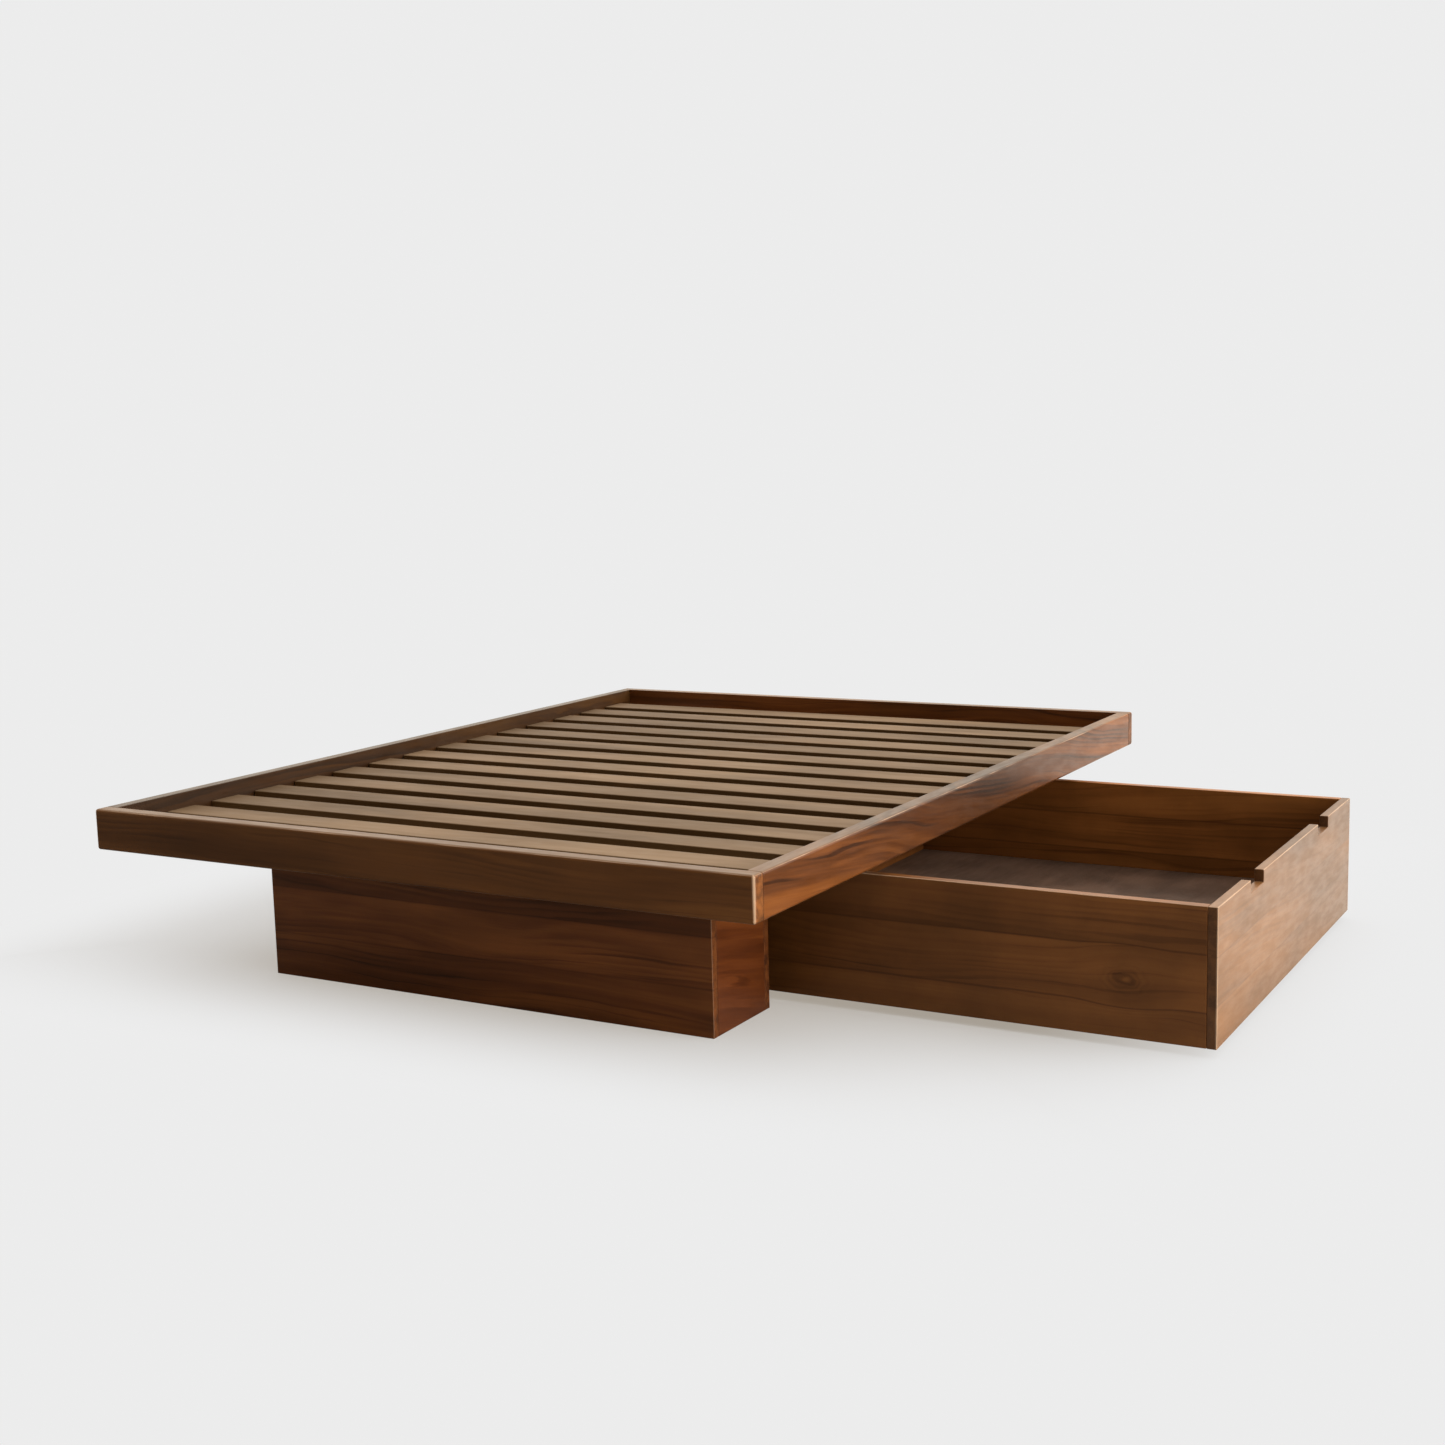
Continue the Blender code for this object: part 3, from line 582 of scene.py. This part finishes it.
# (radius, drop below the plate) down the pan head, from the plate to the rim of the recess.
HEAD_PROFILE = ((0.0040, 0.0), (0.0040, 0.0008), (0.0036, 0.0016), (0.0029, 0.0021), (0.0021, 0.0023))
RECESS_WIDTHS = (0.0017, 0.0012, 0.0007, 0.0006, 0.0007, 0.0012)  # one arm of the cross to the next
RECESS_DEPTH = 0.0013
RECESS_TAPER = 0.6  # width of the recess's floor against its rim
HEAD_STEPS = 24  # corners round a screw head


def add_screw_head(bm, at, turn):
    """A cross-recessed pan head, hanging under the point at."""
    rings = []

    def ring(radii, drop):
        corners = []
        for step in range(HEAD_STEPS):
            angle = turn + 2 * math.pi * step / HEAD_STEPS
            radius = radii[step % len(radii)]
            offset = Vector((radius * math.cos(angle), radius * math.sin(angle), -drop))
            corners.append(bm.verts.new(at + offset))
        rings.append(corners)

    for radius, drop in HEAD_PROFILE:
        ring((radius,), drop)
    crown = HEAD_PROFILE[-1][1]
    ring(RECESS_WIDTHS, crown)
    ring([RECESS_TAPER * width for width in RECESS_WIDTHS], crown - RECESS_DEPTH)
    for upper, lower in zip(rings, rings[1:]):
        for step in range(HEAD_STEPS):
            after = (step + 1) % HEAD_STEPS
            bm.faces.new((upper[step], lower[step], lower[after], upper[after]))
    bm.faces.new(rings[0])
    floor_middle = bm.verts.new(at + Vector((0, 0, RECESS_DEPTH - crown)))
    for step in range(HEAD_STEPS):
        bm.faces.new((rings[-1][step], floor_middle, rings[-1][(step + 1) % HEAD_STEPS]))


def make_caster_screws(look):
    """Four screws hold each caster plate up to the drawer."""
    generator = random.Random(5)
    reach_x, reach_y = SCREW_REACH
    brackets = [name for name in sorted(NODES) if name.endswith("_bracket")]
    for bracket in brackets:
        low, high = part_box(bracket)
        middle = (low + high) / 2
        bm = bmesh.new()
        for x in (middle.x - reach_x, middle.x + reach_x):
            for y in (middle.y - reach_y, middle.y + reach_y):
                at = Vector((x, y, high.z - PLATE_THICKNESS))
                add_screw_head(bm, at, generator.uniform(0, math.pi / 2))
        bmesh.ops.recalc_face_normals(bm, faces=bm.faces)
        name = bracket.replace("bracket", "screws")
        mesh = bpy.data.meshes.new(name)
        bm.to_mesh(mesh)
        bm.free()
        mesh.shade_smooth()
        mesh.set_sharp_from_angle(angle=math.radians(35))
        mesh.materials.append(look)
        screws = bpy.data.objects.new(name, mesh)
        bpy.context.scene.collection.objects.link(screws)
        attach(screws, "drawer")


# ---------------------------------------------------------------- stage, light, camera

BACKDROP = 0.84  # radiance of the pale studio background
SKY_TINT = (1.0, 0.905, 0.78)
OPEN_SKY = 2.23  # light that reaches the open floor, as the radiance of a perfectly white one
SHADOW_GLOW = (0.38, 0.34, 0.29)  # radiance left on the floor in the deepest shadow
# Axis, where the shadow on the floor starts to fade along it and where it is gone.
SHADOW_FADES = ((0, 1.00, 1.75), (0, -1.00, -1.50), (1, 1.90, 2.60), (1, 0.12, -0.48))
# Along Y, where mirrors show the floor dimmest and brightest, and how bright against open floor.
MIRRORED_Y = (-0.6, 1.2)
MIRRORED_SHARE = (0.18, 2.1)
FLOOR_RADIUS = 60.0
FLOOR_DROP = 0.0002  # keeps the floor clear of the faces that stand on it
CAMERA_AT = Vector((2.324, -3.027, 1.124))
CAMERA_YAW = -29.816  # degrees, like the next two
CAMERA_PITCH = 8.278
CAMERA_ROLL = 1.508
CAMERA_LENS = 46.9  # millimetres, like the sensor
SENSOR = 36.0


def floor_to_the_eye(s, position):
    """A warm glow under a cool sheet: the two add up to grey, and shadows turn warm and fade out."""
    open_sky = [OPEN_SKY * part for part in SKY_TINT]
    sheet = [(BACKDROP - glow_part) / sky for glow_part, sky in zip(SHADOW_GLOW, open_sky)]
    glow = s.result("ShaderNodeEmission", rgba(*SHADOW_GLOW))
    paper = s.result("ShaderNodeBsdfDiffuse", rgba(*sheet))
    shadowed = s.result("ShaderNodeAddShader", glow, paper)
    backdrop = s.result("ShaderNodeEmission", grey(BACKDROP))
    open_floor = 0.0
    for axis, start, end in SHADOW_FADES:
        open_floor = s.math("MAXIMUM", s.spread(s.split(position)[axis], start, end), open_floor)
    return s.result("ShaderNodeMixShader", open_floor, shadowed, backdrop)


def floor_to_the_rest(s, position, is_glossy):
    """Plain paper, whose mirror image grows dim towards the foot end."""
    full = BACKDROP / OPEN_SKY
    shares = [share * full for share in MIRRORED_SHARE]
    dimmed = s.spread(s.split(position)[1], *MIRRORED_Y, *shares)
    colour = s.mix(is_glossy, grey(full), s.join(dimmed, dimmed, dimmed))
    return s.result("ShaderNodeBsdfDiffuse", colour)


def floor_paper():
    s = new_material("floor_paper")
    position = s.add("ShaderNodeTexCoord").outputs["Object"]
    rays = s.add("ShaderNodeLightPath").outputs
    to_the_rest = floor_to_the_rest(s, position, rays["Is Glossy Ray"])
    to_the_eye = floor_to_the_eye(s, position)
    paper = s.result("ShaderNodeMixShader", rays["Is Camera Ray"], to_the_rest, to_the_eye)
    s.put(s.tree.nodes["Material Output"].inputs["Surface"], paper)
    return s.owner


def make_floor():
    bm = bmesh.new()
    bmesh.ops.create_circle(bm, cap_ends=True, segments=96, radius=FLOOR_RADIUS)
    mesh = bpy.data.meshes.new("floor")
    bm.to_mesh(mesh)
    bm.free()
    mesh.materials.append(floor_paper())
    floor = bpy.data.objects.new("floor", mesh)
    bpy.context.scene.collection.objects.link(floor)
    floor.location.z = -FLOOR_DROP


# Soft boxes round the stage: direction, cosines where each starts and is full, and brightness.
SOFT_BOXES = (
    ((0.25, 0.35, 0.90), 0.25, 0.95, 2.5),
    ((0.00, 1.00, 0.12), 0.30, 0.95, 0.55),
    ((-1.00, 0.30, 0.25), 0.40, 0.95, 1.2),
    ((1.00, 0.12, 0.12), 0.72, 0.97, 5.0),
    ((1.00, 0.10, 0.38), 0.72, 0.97, 2.5),
)
AMBIENT = 0.05


def make_world():
    """An even pale background to the eye; the light comes from above, behind and the right."""
    world = bpy.data.worlds.new("studio")
    bpy.context.scene.world = world
    s = Shader(world)
    direction = s.add("ShaderNodeTexCoord").outputs["Generated"]
    strength = AMBIENT
    for towards, start, full, brightness in SOFT_BOXES:
        towards_box = s.vector("DOT_PRODUCT", direction, Vector(towards).normalized())
        strength = s.math("ADD", s.spread(towards_box, start, full, 0.0, brightness), strength)
    lighting = s.result("ShaderNodeBackground", rgba(*SKY_TINT), strength)
    backdrop = s.result("ShaderNodeBackground", grey(BACKDROP))
    to_the_eye = s.add("ShaderNodeLightPath").outputs["Is Camera Ray"]
    background = s.result("ShaderNodeMixShader", to_the_eye, lighting, backdrop)
    s.put(s.tree.nodes["World Output"].inputs["Surface"], background)


def make_camera():
    data = bpy.data.cameras.new("camera")
    data.sensor_width = SENSOR
    data.lens = CAMERA_LENS
    camera = bpy.data.objects.new("camera", data)
    bpy.context.scene.collection.objects.link(camera)
    camera.matrix_world = (
        Matrix.Translation(CAMERA_AT)
        @ Matrix.Rotation(math.radians(-CAMERA_YAW), 4, "Z")
        @ Matrix.Rotation(math.radians(90 - CAMERA_PITCH), 4, "X")
        @ Matrix.Rotation(math.radians(-CAMERA_ROLL), 4, "Z")
    )
    bpy.context.scene.camera = camera


def dress_nodes():
    looks = make_looks()
    slot_of = {part["node"]: part["material_slot"] for part in frame["record"]["subparts"]}
    group = weld_group()
    generator = random.Random(11)
    outer = {}
    for slot in sorted(set(slot_of.values())):
        outer[slot] = outer_box([name for name in NODES if slot_of[name] == slot])
    for name in sorted(NODES):
        node = NODES[name]
        slot = slot_of[name]
        for place in node.material_slots:
            place.material = looks.get(name, looks[slot])
        if slot.endswith("wood"):
            describe_board(name, node, outer[slot], generator)
            round_edges(node, group, WOOD_ROUNDING)
        else:
            round_edges(node, group, METAL_ROUNDING)
    make_caster_screws(looks["caster_steel"])


dress_nodes()
make_floor()
make_world()
make_camera()
bpy.context.scene.view_settings.view_transform = "Standard"
